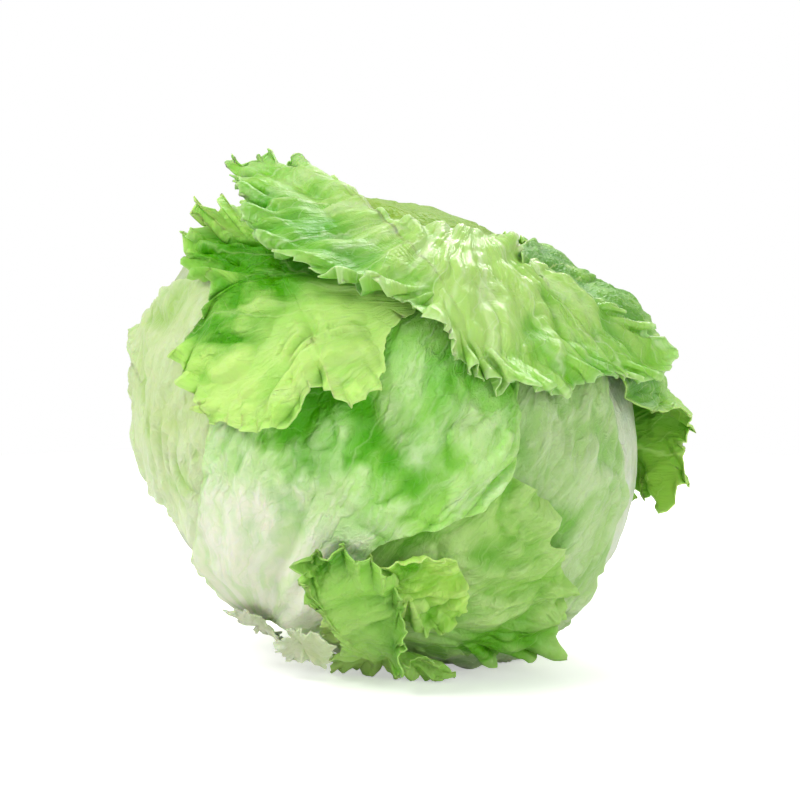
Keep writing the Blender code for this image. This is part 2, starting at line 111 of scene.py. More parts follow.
# Each leaf, from the inside out: name, seat, middle, margin (azimuth, elevation, lift mm, ruffle mm), extras
LEAVES = [
    ("crown_leaf", 0.925, (165, 45),
     [(-150, 5), (-150, 35), (-120, 55), (-60, 60), (-10, 52), (40, 44), (80, 42), (112, 34), (130, 10),
      (170, -5)],
     {"fan": (-100, 30), "pleats": 18, "depth": 0.8}),
    ("left_inner_leaf", 0.995, (-84, 0),
     [(-66, -42), (-52, -40), (-40, -24), (-36, 0), (-48, 26), (-82, 42), (-118, 36), (-136, 8),
      (-130, -22), (-112, -40), (-90, -38)],
     {"rib": 1.2, "fan": (-82, -50), "pleats": 16, "depth": 0.7}),
    ("right_inner_leaf", 0.985, (92, -15),
     [(26, -44), (42, -12), (50, 12), (64, 36), (92, 46), (122, 30), (134, -8), (142, -42), (126, -58),
      (82, -64), (44, -60)],
     {"fan": (20, -74), "pleats": 16, "depth": 0.7}),
    ("left_wrapper", 1.015, (-70, 10),
     [(-54, -27), (-67, -19), (-88, -12, 1), (-108, -4, 1), (-119, 9, 2), (-116, 17, 3, 1), (-98, 19, 5, 2),
      (-91, 27, 2, 1), (-72, 35, 1), (-50, 38), (-34, 30), (-26, 10), (-34, -14), (-46, -25)],
     {"fan": (-66, -48), "pleats": 18, "depth": 0.8}),
    ("right_wrapper", 0.99, (22, -40),
     [(-60, -54), (-34, -42), (-8, -28), (5, 2), (20, 28), (46, 36), (62, 26, 1), (59, 10, 1), (63, -8, 1),
      (64, -22, 1), (68, -38, 1), (88, -52), (128, -60), (-165, -64), (-118, -66), (-90, -66), (-68, -63)],
     {"fan": (-50, -52), "pleats": 26, "depth": 0.8}),
    ("back_right_leaf", 0.99, (135, 12),
     [(72, 50, 2), (63, 44, 2), (61, 36, 3), (61, 28, 4), (60, 20, 5, 1), (60, 13, 7, 1), (64, 7, 7, 2),
      (74, 4, 7, 2), (83, 2, 9, 3), (90, -5, 17, 3), (89, -12, 16, 3), (84, -22, 10, 3), (92, -20, 7, 2),
      (104, -21, 3), (126, -34), (156, -48), (-175, -36), (178, 5), (168, 40), (140, 50), (98, 54)],
     {"fan": (170, -10), "pleats": 20, "depth": 1.2, "swells": [(92, 20, 16, 12)]}),
    ("lower_right_leaf", 1.0, (12, -38),
     [(-28, -44), (-18, -28), (-6, -12), (8, -2), (24, -2), (34, -8, 2, 1), (40, -17, 4, 2),
      (46, -30, 7, 2), (51, -40, 11, 3), (53, -45, 13, 4), (46, -48, 12, 4), (38, -50, 10, 3),
      (30, -52, 7, 2), (22, -54, 4, 1), (5, -57, 2), (-14, -58, 1), (-28, -54)],
     {"fan": (-22, -42), "pleats": 22, "depth": 0.9}),
    ("front_leaf", 1.0, (-10, 2),
     [(-64, -42), (-57, -28), (-47, -13), (-41, 4), (-38, 18), (-28, 32), (0, 38), (16, 33), (26, 24, 1),
      (29, 12, 1), (24, -3, 2), (18, -9, 2), (10, -13, 2), (0, -16, 2), (-5, -20, 2), (-8, -27, 1),
      (-11, -34, 1), (-17, -41, 1), (-28, -45, 1), (-42, -47), (-54, -46)],
     {"rib": 1.8, "fan": (-56, -52), "pleats": 30, "depth": 1.1}),
    ("lower_curl", 1.0, (4, -29),
     [(-20, -38), (-12, -27, 1), (0, -17, 3, 1), (7, -14, 5, 2), (13, -17, 6, 2), (17, -24, 7, 2),
      (19, -32, 8, 1), (15, -37, 9, 1), (6, -38, 8, 1), (-4, -40, 5), (-18, -44, 1)],
     {}),
    ("lower_left_leaf", 1.0, (-3, -49),
     [(-28, -58), (-14, -60, 2), (6, -56, 6, 1), (18, -53, 6, 1), (23, -50, 7, 1), (12, -47, 8),
      (4, -42, 8), (3, -30, 7), (0, -20, 6, 1), (-8, -14, 6, 2), (-16, -12, 6, 3), (-20, -17, 6, 3),
      (-19, -26, 5, 2), (-15, -36, 5, 1), (-17, -45, 4), (-28, -51)],
     {"wave": 18}),
    ("torn_base_left", 1.0, (-50, -47),
     [(-63, -41, 4), (-50, -37, 3), (-40, -40, 2), (-34, -47, 2), (-40, -54, 3), (-52, -58, 2),
      (-58, -55, 1), (-58, -48, 2)],
     {"wave": 11}),
    ("torn_base_right", 1.0, (-26, -44),
     [(-40, -46), (-30, -38, 2), (-20, -34, 3, 1), (-13, -36, 4, 1), (-12, -43, 4, 1), (-18, -50, 4, 1),
      (-28, -51, 3, 1), (-38, -51)],
     {"wave": 11}),
    ("lip_leaf", 1.0, (-32, 42),
     [(-84, 48, 7, 3), (-76, 43, 8, 3), (-69, 38, 7, 3), (-58, 34, 6, 2), (-50, 31, 6, 2), (-51, 25, 6, 2),
      (-55, 18, 6, 2), (-50, 13, 6, 2), (-42, 7, 6, 2), (-32, 4, 6, 2), (-23, 5, 7, 2), (-19, 8, 8, 1),
      (-15, 13, 8, 1), (-11, 13, 9, 1), (-7, 10, 10, 2), (-3, 12, 10, 2), (0, 18, 7, 1), (1, 26, 4),
      (12, 35, 1), (24, 44), (18, 52), (-18, 59), (-64, 63), (-100, 56, 3, 1)],
     {"fan": (14, 34), "pleats": 26, "depth": 1.2}),
    ("top_leaf", 1.0, (14, 38),
     [(2, 61, 3), (24, 60, 3), (44, 58, 3), (53, 53, 3), (56, 47, 3), (60, 40, 3), (65, 34, 3), (69, 29, 4),
      (73, 25, 5), (76, 20, 8), (77, 15, 10, 1), (72, 11, 11, 2), (64, 11, 10, 2), (56, 13, 9, 2),
      (49, 13, 9, 2), (43, 13, 8, 2), (35, 10, 8, 2), (28, 11, 8, 2), (19, 14, 8, 2), (15, 21, 9, 2),
      (11, 27, 10, 2), (5, 30, 10, 2), (-3, 32, 11, 2), (-12, 34, 13, 2), (-22, 37, 14, 2),
      (-33, 40, 14, 2), (-44, 45, 13, 2), (-54, 51, 12, 2), (-70, 56, 13, 2), (-97, 56, 15, 3),
      (-90, 63, 14, 3), (-76, 69, 11, 2), (-60, 73, 7, 1), (-26, 68, 4)],
     {"fan": (45, 64), "pleats": 24, "depth": 1.3}),
    ("back_outer_leaf", 1.0, (-162, -4),
     [(-102, -44), (-110, -14, 1, 1), (-120, 12, 3, 2), (-138, 32, 6, 3), (-166, 42, 7, 3), (168, 38, 6, 3),
      (150, 18, 5, 3), (144, -12, 3, 2), (156, -40, 1), (-175, -56), (-124, -60), (-105, -54)],
     {"wave": 28, "fan": (-110, -50), "pleats": 22, "depth": 1.2}),
]

# How each leaf is dressed. Spots are lists of (azimuth, elevation, spread degrees, amount).
#   grid     columns round the margin, rows from the middle to the margin
#   lobes, teeth     width and depth of the lobes of the margin and of the teeth on them, mm
#   frill    length, height and reach of the waves at the margin, mm, and how far they fold over (0 to 1)
#   wild     spots where lobes, teeth and waves are higher, or lower where negative
#   rolls, roll_reach     spots where the margin rolls outward, degrees, and how wide the roll is, mm
#   tucks    spots where the margin dips towards the ball, mm
#   clefts   spots where the margin is torn in, or drawn out where negative, mm
#   crumple  height of the broad folds along the fan, of the creases and of the small pillows, mm
#   crinkle  spots where the blade is more crumpled, or less where negative
#   pale, green, deep, vein     colours (sRGB) of the base, the blade, the painted shade in hollows together with the darker mottling, and the veins
#   turn     distance from the fan at which pale turns to green: from, to, degrees
#   painted_shade, pale_and_painted_light, gloss     spots of deep green painted where shade falls, of pale that is partly the leaf's own tone and partly painted light, and of shine
#   ribs, veins, bump, shine     strength of the pale ribs, the veins, the fine relief and the reflections
USUAL = {"wild": [], "rolls": [], "roll_reach": 10, "tucks": [], "clefts": [], "crinkle": [], "painted_shade": [],
         "pale_and_painted_light": [], "gloss": [], "ribs": 0.5, "veins": 0.25, "bump": 0.7, "shine": 0.35}
LOOKS = {
    "crown_leaf": {
        "grid": (150, 34), "lobes": (16, 1), "teeth": (5, 0.4), "frill": (20, 0.5, 10, 0),
        "crumple": (2.4, 0.8, 0.2), "pale": (150, 184, 52), "green": (130, 174, 36), "deep": (100, 158, 20),
        "vein": (206, 228, 140), "turn": (20, 70), "shine": 0.2},
    "left_inner_leaf": {
        "grid": (140, 32), "lobes": (16, 0.8), "teeth": (5, 0.3), "frill": (30, 0.3, 10, 0),
        "crumple": (1.6, 0.5, 0.1), "pale": (198, 208, 174), "green": (180, 198, 142),
        "deep": (170, 206, 120), "vein": (232, 240, 216), "turn": (15, 75)},
    "right_inner_leaf": {
        "grid": (140, 32), "lobes": (16, 0.8), "teeth": (5, 0.3), "frill": (30, 0.3, 10, 0),
        "crumple": (1.6, 0.5, 0.1), "pale": (226, 234, 212), "green": (206, 220, 184),
        "deep": (170, 200, 130), "vein": (234, 240, 224), "turn": (15, 90)},
    "left_wrapper": {
        "grid": (240, 50), "lobes": (12, 1.2), "teeth": (4, 0.5), "frill": (15, 0.8, 8, 0.3),
        "wild": [(-104, 19, 14, -0.9)], "crumple": (3.4, 1.6, 0.2), "crinkle": [(-102, 14, 10, -0.8)],
        "pale": (222, 236, 194), "green": (202, 224, 154), "deep": (158, 202, 90), "vein": (226, 236, 200),
        "turn": (20, 60), "painted_shade": [(-74, 30, 9, 0.5), (-58, -4, 8, 0.4), (-86, 16, 9, 0.3)]},
    "right_wrapper": {
        "grid": (290, 58), "lobes": (14, 0.8), "teeth": (4, 0.3), "frill": (18, 0.5, 8, 0.1),
        "crumple": (3.6, 1.6, 0.2), "pale": (216, 229, 194), "green": (172, 208, 130),
        "deep": (124, 184, 72), "vein": (206, 226, 174), "turn": (30, 75), "painted_shade": [(30, 8, 9, 0.6),
            (43, 12, 8, 0.5), (50, 0, 5, 0.4), (22, -8, 8, 0.3), (-2, -22, 9, 2.0), (38, -16, 5, 1.6),
            (12, -60, 16, 1.2)]},
    "back_right_leaf": {
        "grid": (460, 56), "lobes": (13, 5.0), "teeth": (4.5, 1.0), "frill": (14, 2.2, 16, 0.6),
        "wild": [(90, -12, 16, 1.6), (64, 32, 26, -0.95)], "tucks": [(68, 50, 10, -1)],
        "clefts": [(58, 51, 14, -22)], "crumple": (3.4, 1.6, 0.4), "pale": (164, 214, 84),
        "green": (132, 194, 66), "deep": (86, 156, 28), "vein": (214, 240, 150), "turn": (5, 45),
        "painted_shade": [(72, 38, 18, 2.2), (72, 20, 12, 1.4), (56, 52, 12, 1.4)], "pale_and_painted_light": [(92, -8, 13, 1.0)],
        "ribs": 0.4, "veins": 0.6},
    "front_leaf": {
        "grid": (360, 70), "lobes": (16, 0.7), "teeth": (4, 0.35), "frill": (20, 0.6, 10, 0.1),
        "crumple": (5.0, 2.4, 0.4), "crinkle": [(-40, -12, 22, -0.8), (-22, -30, 16, -0.5)],
        "pale": (240, 246, 220), "green": (158, 220, 88), "deep": (84, 176, 4), "vein": (196, 232, 150),
        "turn": (28, 66), "painted_shade": [(-16, 8, 9, 1.8), (-10, 5, 7, 1.0), (8, 7, 12, 0.5), (19, 18, 8, 0.8),
            (27, 8, 7, 0.6), (2, 22, 9, 0.6)], "pale_and_painted_light": [(-14, -32, 12, 0.9), (-30, -6, 9, 0.3),
            (-34, 8, 7, 0.4)], "bump": 0.9, "shine": 0.25},
    "lower_right_leaf": {
        "grid": (400, 56), "lobes": (10, 3.0), "teeth": (4, 0.9), "frill": (12, 2.4, 12, 0.5),
        "wild": [(34, -50, 14, 0.25), (16, -4, 22, -0.8), (42, -14, 10, -0.5)], "tucks": [(34, -52, 16, 3)],
        "clefts": [(39, -15, 2.5, 5)], "crumple": (5.0, 2.2, 0.4), "pale": (192, 220, 146),
        "green": (150, 202, 84), "deep": (92, 166, 12), "vein": (186, 220, 132), "turn": (14, 52),
        "painted_shade": [(4, -42, 9, 2.2), (36, -45, 12, 0.7), (20, -48, 10, 0.7), (0, -20, 8, 0.7),
            (34, -26, 8, 0.3)], "pale_and_painted_light": [(12, -18, 10, 0.3), (40, -16, 8, 0.5)]},
    "lower_curl": {
        "grid": (240, 42), "lobes": (9, 1.6), "teeth": (3.5, 0.8), "frill": (10, 2.6, 12, 0.5),
        "rolls": [(4, -15, 7, 110)], "roll_reach": 6, "crumple": (5.0, 2.4, 0.4), "pale": (204, 230, 142),
        "green": (184, 232, 92), "deep": (104, 180, 16), "vein": (200, 228, 140), "turn": (40, 70),
        "painted_shade": [(1, -22, 5, 0.9), (12, -31, 5, 0.5), (6, -40, 7, 1.8)], "pale_and_painted_light": [(6, -34, 5, 0.3)]},
    "lower_left_leaf": {
        "grid": (310, 50), "lobes": (9, 2.4), "teeth": (3.5, 0.8), "frill": (10, 3.0, 12, 0.6),
        "wild": [(-14, -14, 10, 1.2)], "rolls": [(-18, -14, 6, 110), (6, -36, 8, 100)], "roll_reach": 7,
        "crumple": (5.0, 2.4, 0.4), "pale": (180, 216, 118), "green": (152, 210, 84), "deep": (82, 156, 16),
        "vein": (186, 222, 126), "turn": (28, 60), "painted_shade": [(-17, -17, 6, 1.0), (-10, -17, 4, 0.5),
            (0, -28, 5, 0.9), (-16, -30, 4, 0.6), (3, -41, 6, 1.2)], "pale_and_painted_light": [(-10, -60, 6, 0.5)]},
    "torn_base_left": {
        "grid": (150, 28), "lobes": (9, 4.0), "teeth": (4, 2.0), "frill": (9, 1.0, 6, 0.3),
        "crumple": (2.0, 1.0, 0.2), "pale": (214, 220, 192), "green": (204, 215, 170),
        "deep": (160, 178, 110), "vein": (232, 238, 216), "turn": (12, 34)},
    "torn_base_right": {
        "grid": (150, 28), "lobes": (8, 3.4), "teeth": (3.5, 2.0), "frill": (9, 1.0, 6, 0.3),
        "crumple": (2.0, 1.0, 0.2), "pale": (220, 226, 202), "green": (198, 210, 160),
        "deep": (140, 176, 80), "vein": (226, 234, 206), "turn": (18, 44)},
    "lip_leaf": {
        "grid": (520, 62), "lobes": (11, 3.0), "teeth": (4, 0.9), "frill": (13, 3.0, 15, 0.6),
        "wild": [(-74, 42, 18, 1.6), (-10, 10, 10, -0.1)], "rolls": [(-80, 46, 8, 130)], "roll_reach": 9,
        "tucks": [(-50, 22, 10, 4), (-34, 4, 12, 5), (0, 24, 10, 5)], "clefts": [(-88, 52, 10, 12)],
        "crumple": (6.5, 3.4, 0.5), "pale": (200, 238, 130), "green": (172, 230, 92), "deep": (80, 166, 0),
        "vein": (210, 240, 156), "turn": (10, 60), "painted_shade": [(-36, 39, 14, 1.8), (-20, 37, 13, 1.8),
            (-56, 36, 9, 0.8), (-6, 34, 9, 1.0), (-46, 24, 6, 0.5), (-10, 22, 4, 0.3)],
        "pale_and_painted_light": [(-22, 25, 8, 0.6), (-34, 14, 8, 0.8), (-44, 10, 7, 0.5)], "bump": 1.0, "shine": 0.2},
    "top_leaf": {
        "grid": (620, 66), "lobes": (12, 3.2), "teeth": (4, 1.0), "frill": (13, 3.0, 14, 0.6),
        "wild": [(-100, 60, 16, 0.5), (76, 16, 12, 0.1), (20, 60, 16, -0.6), (62, 36, 12, -0.7),
            (30, 12, 22, 0.8), (-10, 32, 16, 0.6)], "rolls": [(76, 16, 6, 110), (-104, 58, 6, 140),
            (-84, 66, 8, 120)], "roll_reach": 6, "tucks": [(-100, 60, 16, 7), (-40, 70, 16, 2)],
        "clefts": [(12, 25, 9, -8)], "crumple": (2.4, 1.5, 0.6), "crinkle": [(36, 50, 16, 0.5),
            (60, 30, 10, 0.3)], "pale": (176, 216, 112), "green": (126, 198, 38), "deep": (90, 172, 10),
        "vein": (222, 240, 190), "turn": (10, 60), "painted_shade": [(50, 14, 7, 1.0), (-52, 46, 10, 0.9),
            (34, 12, 6, 0.4), (-14, 44, 10, 0.6), (-34, 54, 11, 0.7), (62, 50, 9, 0.8)],
        "pale_and_painted_light": [(19, 31, 8, 1.0), (28, 36, 8, 0.6), (60, 26, 7, 0.3)], "gloss": [(36, 52, 15, 1.0),
            (56, 36, 10, 0.9), (66, 26, 8, 0.8)], "veins": 0.35, "shine": 0.5},
    "back_outer_leaf": {
        "grid": (260, 44), "lobes": (14, 2.0), "teeth": (4.5, 0.8), "frill": (16, 1.6, 12, 0.4),
        "crumple": (3.2, 1.4, 0.3), "pale": (210, 228, 172), "green": (160, 206, 102),
        "deep": (118, 180, 60), "vein": (200, 226, 156), "turn": (25, 85), "ribs": 0.7, "veins": 0.5},
}

HEART_LOOK = {"pale": (214, 228, 168), "green": (176, 206, 108), "deep": (132, 182, 60),
              "vein": (212, 230, 164)}


def heading(azimuth, elevation):
    """Unit vector: azimuth 0 looks along -Y and 90 along +X, elevation is above the horizon."""
    a, e = np.radians(azimuth), np.radians(elevation)
    return np.stack([np.sin(a) * np.cos(e), -np.cos(a) * np.cos(e), np.sin(e)], -1)


def unit(v):
    """The same direction with length 1."""
    return v / np.linalg.norm(v, axis=-1, keepdims=True)


def ease(x):
    """Smooth step from 0 to 1."""
    x = np.clip(x, 0, 1)
    return x * x * (3 - 2 * x)


def degrees_between(d, e):
    """Angle between headings and one heading."""
    return np.degrees(np.arccos(np.clip(d @ e, -1, 1)))


def polar(turn, third):
    """Cosine and sine of a turn, with a third value beside them."""
    return np.stack([np.cos(turn), np.sin(turn), third], -1)


def square_to(axis):
    """Two unit vectors at right angles to an axis and to each other."""
    side = unit(np.cross(axis, [0.3, 0.2, 1]))
    return side, np.cross(side, axis)


def around(axis, turn):
    """Directions at right angles to an axis, at this turn round it."""
    side, up = square_to(axis)
    return np.cos(turn)[..., None] * side + np.sin(turn)[..., None] * up


STEM = heading(*STEM_HEADING)
CENTRE = np.array([0, 0, HEAD_HEIGHT])


def ball_radius(d):
    """Radius of the spheroid, which is short along the stem."""
    along = (d @ STEM) ** 2
    return 1 / np.sqrt(along / POLE_RADIUS**2 + (1 - along) / EQUATOR_RADIUS**2)


def above_floor(r, d, height):
    """Shortens r wherever the point would come lower than this height."""
    return np.minimum(r, (HEAD_HEIGHT - height) / np.maximum(-d[..., 2], 1e-6))


def catmull(p, f):
    """Catmull-Rom curve between the middle two of four neighbours, at the share f of that step."""
    a, b, c, d = p
    return 0.5 * (2 * b + (c - a) * f + (2 * a - 5 * b + 4 * c - d) * f**2 + (3 * b - a - 3 * c + d) * f**3)


def round_loop(rows, t):
    """Smooth closed curve through the rows; t runs from 0 to 1 once round."""
    count = len(rows)
    x = np.mod(t, 1) * count
    i = np.floor(x).astype(int)
    return catmull([rows[(i + k) % count] for k in (-1, 0, 1, 2)], (x - i)[..., None])


def over_grid(grid, t, s):
    """Smooth reading of a grid that closes round in t and runs from the middle to the margin in s."""
    columns = round_loop(grid, t)
    last = grid.shape[1] - 1
    x = np.clip(s, 0, 1) * last
    i = np.minimum(x.astype(int), last - 1)
    taps = [np.clip(i + k, 0, last)[..., None] for k in (-1, 0, 1, 2)]
    return catmull([np.take_along_axis(columns, tap, -1)[..., 0] for tap in taps], x - i)


def scatter(whole, seed):
    """A fixed scattered value from 0 to 1 for each whole number or row of whole numbers."""
    in_rows = whole.ndim and whole.shape[-1] == 3
    mixed = whole @ SCATTER_ROW if in_rows else whole * SCATTER_ROW[0]
    return np.mod(np.sin(mixed + 4.17 * seed + 1.3) * 43758.5453, 1)


def cloud(p, seed):
    """Smooth noise from -1 to 1: scattered values at whole points, eased in between along each axis."""
    low = np.floor(p)
    share = ease(p - low)
    total = np.zeros(p.shape[:-1])
    for corner in np.ndindex(2, 2, 2):
        weight = np.prod(np.where(corner, share, 1 - share), axis=-1)
        total += weight * scatter(low + corner, seed)
    return 2 * total - 1


class Leaf:
    """One leaf, as a function of t once round its margin and s from its middle to the margin."""

    def __init__(self, name, seat, middle, margin, extras):
        self.name = name
        self.seat = seat
        self.middle = heading(*middle)
        self.rib = extras.get("rib", 0) * 0.001
        self.wave = extras.get("wave", 24) * 0.001
        self.fan = heading(*extras.get("fan", STEM_HEADING))
        self.pleats = extras.get("pleats", 0)
        self.depth = extras.get("depth", 0) * 0.001
        self.swells = extras.get("swells", [])
        rows = np.array([[*heading(m[0], m[1]), *(tuple(m[2:]) + (0, 0))[:2]] for m in margin])
        fine = round_loop(rows, np.linspace(0, 1, 721))
        run = np.append(0, np.cumsum(np.linalg.norm(np.diff(fine[:, :3], axis=0), axis=1)))
        even = np.linspace(0, run[-1], 720, endpoint=False)
        self.edge = np.stack([np.interp(even, run, column) for column in fine.T], -1)
        self.length = run[-1] * EQUATOR_RADIUS
        self.ruffles = max(round(self.length / self.wave), 1)
        self.lying = None

    def directions(self, t, s):
        """Headings along great circles from the middle to the margin, the reach of those circles,
        and the direction in which they run on."""
        margin = unit(round_loop(self.edge, t)[..., :3])
        reach = np.arccos(np.clip(margin @ self.middle, -1, 1))
        away = unit(margin - (margin @ self.middle)[..., None] * self.middle)
        angle = (s * reach)[..., None]
        d = np.cos(angle) * self.middle + np.sin(angle) * away
        return d, reach, np.cos(angle) * away - np.sin(angle) * self.middle

    def thickness(self, d):
        """Thin blade, thicker where the rib comes off the stem."""
        return BLADE + self.rib * (1 - ease((degrees_between(d, STEM) - RIB_START) / RIB_ZONE))

    def aim(self, t, s, d, reach):
        """Radius that the leaf would have with nothing below it: its seat, lift, ruffles and swells."""
        edge = round_loop(self.edge, t)
        run = 2 * np.pi * self.ruffles * t
        swing = 0.62 * np.sin(run + self.seat) + 0.38 * np.sin(2 * run + 1.3 * np.sin(2 * np.pi * t))
        inward = (1 - s) * reach
        lift = edge[..., 3] * ease(1 - inward / np.minimum(np.radians(LIFT_ZONE), reach))
        ruffle = edge[..., 4] * swing * ease(1 - inward / np.minimum(np.radians(RUFFLE_ZONE), reach))
        return self.seat * ball_radius(d) + 0.001 * (lift + ruffle + hills(d, self.swells))

    def fan_place(self, d):
        """Bearing round the fan's centre and distance from it, degrees."""
        side, up = square_to(self.fan)
        return np.arctan2(d @ up, d @ side), degrees_between(d, self.fan)

    def pleat(self, d):
        """Height of the pleats, which spread like a fan and grow out of nothing at its centre."""
        bearing, far = self.fan_place(d)
        swing = np.cos(self.pleats * bearing + 1.5 * np.sin(2 * bearing) + far / 40)
        return self.depth * (0.5 + 0.5 * swing) * ease((far - FAN_CENTRE) / PLEAT_ZONE)

    def radius(self, t, s, d, reach):
        """The higher of what it lies on and what it aims at, blended, with the pleats on top."""
        low = over_grid(self.lying, t, s)
        high = self.aim(t, s, d, reach)
        r = 0.5 * (low + high + np.sqrt((low - high) ** 2 + BLEND**2)) + self.pleat(d)
        return above_floor(r, d, self.thickness(d))


def disc(columns, rows):
    """Grids of t once round and s from 0 to 1."""
    return np.meshgrid(np.arange(columns) / columns, np.linspace(0, 1, rows), indexing="ij")


def core_radius(d):
    """The dense heart, with the stepped laps of the leaves that close it."""
    turn = np.arctan2(d @ np.cross(STEM, [0, 0, 1]), d @ np.cross(STEM, [0, 1, 0]))
    laps = (turn * 1.5 / np.pi + 0.35 * (d @ STEM)) % 1
    return above_floor(CORE_SHARE * ball_radius(d) - LAP_STEP * laps, d, CORE_FLOOR)


def lay_leaves(leaves):
    """Lays each leaf over the map of all that lies below it, then adds it to the map. A leaf lies at the
    highest of: a cell's top plus the clearance, less a fall that grows with the angle to that cell."""
    wide, high = int(360 / MAP_STEP), int(180 / MAP_STEP)
    azimuth = (np.arange(wide) + 0.5) * MAP_STEP - 180
    elevation = (np.arange(high) + 0.5) * MAP_STEP - 90
    cells = heading(*np.meshgrid(azimuth, elevation)).reshape(-1, 3)
    tops = core_radius(cells)
    for leaf in leaves:
        t, s = disc(int(leaf.length / CONTROL_GAP) + 8, CONTROL_ROWS)
        d = leaf.directions(t, s)[0].reshape(-1, 3)
        base = (tops + CLEARANCE - 2 * FALL).astype(np.float32)
        slope = (2 * FALL * cells.T).astype(np.float32)
        parts = np.array_split(d.astype(np.float32), 40)
        need = np.concatenate([(part @ slope + base).max(1) for part in parts])
        low = np.maximum(need.astype(float), leaf.seat * ball_radius(d)).reshape(t.shape)
        mild = low.copy()
        for _ in range(3):
            p = np.pad(np.pad(mild, ((1, 1), (0, 0)), mode="wrap"), ((0, 0), (1, 1)), mode="edge")
            mild = (p[:-2, 1:-1] + p[2:, 1:-1] + p[1:-1, :-2] + p[1:-1, 2:] + 4 * mild) / 8
            mild[:, 0] = mild[:, 0].mean()
        leaf.lying = np.maximum(mild, low - 0.0003)
        leaf.lying[:, 0] = leaf.lying[:, 0].max()
        t, s = disc(int(leaf.length / MAP_GAP), MAP_ROWS)
        d, reach, _ = leaf.directions(t, s)
        r = leaf.radius(t, s, d, reach)
        p = d * r[..., None]
        across = np.cross(np.roll(p, -1, axis=0) - np.roll(p, 1, axis=0), np.gradient(p, axis=1))
        tilt = np.abs((across * d).sum(-1)) / np.maximum(np.linalg.norm(across, axis=-1), 1e-12)
        outer = r + leaf.thickness(d) / np.clip(np.where(s < 0.02, 1, tilt), 0.4, 1)
        column = ((np.degrees(np.arctan2(d[..., 0], -d[..., 1])) + 180) / MAP_STEP).astype(int) % wide
        row = ((np.degrees(np.arcsin(np.clip(d[..., 2], -1, 1))) + 90) / MAP_STEP).astype(int)
        cell = np.clip(row, 0, high - 1) * wide + column
        np.maximum.at(tops, cell.ravel(), outer.ravel())


def hills(d, spots):
    """Sum of round hills over headings: each amount times exp(-(angle / spread) squared)."""
    total = np.zeros(d.shape[:-1])
    for azimuth, elevation, spread, amount in spots:
        total += amount * np.exp(-((degrees_between(d, heading(azimuth, elevation)) / spread) ** 2))
    return total


def notches(t, count, shift, seed):
    """Depth of the bays between pointed teeth, 0 at a tip and 1 in a bay; each tooth has its own height."""
    x = count * t + shift
    size = 0.25 + 0.75 * scatter(np.floor(x + 0.5) % count, seed)
    return 1 - size * (1 - np.abs(np.sin(np.pi * x))) ** 0.9


def cut_margin(leaf, look, t, margin, wild, seed):
    """How far the margin is cut in, in metres: lobes with fine teeth on them, both deeper where the
    margin is wild, and the clefts of the look."""
    total = hills(margin, look["clefts"])
    for k, key in enumerate(("lobes", "teeth")):
        width, depth = look[key]
        count = max(round(leaf.length * 1000 / width), 3)
        total += depth * wild * notches(t, count, 1.6 * cloud(margin * (5 + 9 * k), seed + k), seed + 5 * k)
    return 0.001 * total


def crumple(look, d, q, bearing, far, seed):
    """Relief of the blade in metres: puffs, which are the size of noise and so meet in creases, drawn out
    along the fan, then rounder and smaller ones, and small pillows. Noise bends the fan's rays."""
    folds, creases, pillows = look["crumple"]
    swirl = bearing + 0.35 * cloud(q / 0.03 + seed, seed + 1)
    reach = np.radians(far) + 0.15 * cloud(q / 0.025 + 5, seed + 2)
    ray = polar(swirl, reach)
    bent = q + 0.003 * np.stack([cloud(q / 0.01, seed + 3), cloud(q / 0.01 + 9, seed + 4), 0 * far], -1)
    relief = folds * (np.abs(cloud(ray * [6.5, 6.5, 2] + seed, seed)) - 0.25)
    relief += 0.6 * folds * (np.abs(cloud(ray * [13, 13, 4.5], seed + 7)) - 0.25)
    relief += creases * (np.abs(cloud(bent / CREASE_SIZE + seed, seed + 8)) - 0.25)
    relief += pillows * cloud(bent / PILLOW_SIZE, seed + 10)
    local = 1 + hills(d, look["crinkle"])
    return 0.001 * relief * local * ease((far - FAN_CENTRE) / CRUMPLE_ZONE)


def cover(d, leaves):
    """1 where one of the leaves lies over a heading, easing to 0 a little way beyond its margin."""
    total = np.zeros(d.shape[:-1])
    for leaf in leaves:
        side, up = square_to(leaf.middle)
        edge = unit(leaf.edge[:, :3])
        reach = np.interp(np.arctan2(d @ up, d @ side), np.arctan2(edge @ up, edge @ side),
                          degrees_between(edge, leaf.middle), period=2 * np.pi)
        beyond = degrees_between(d, leaf.middle) - reach
        total = np.maximum(total, ease(1.5 - beyond / COVER_ZONE))
    return total


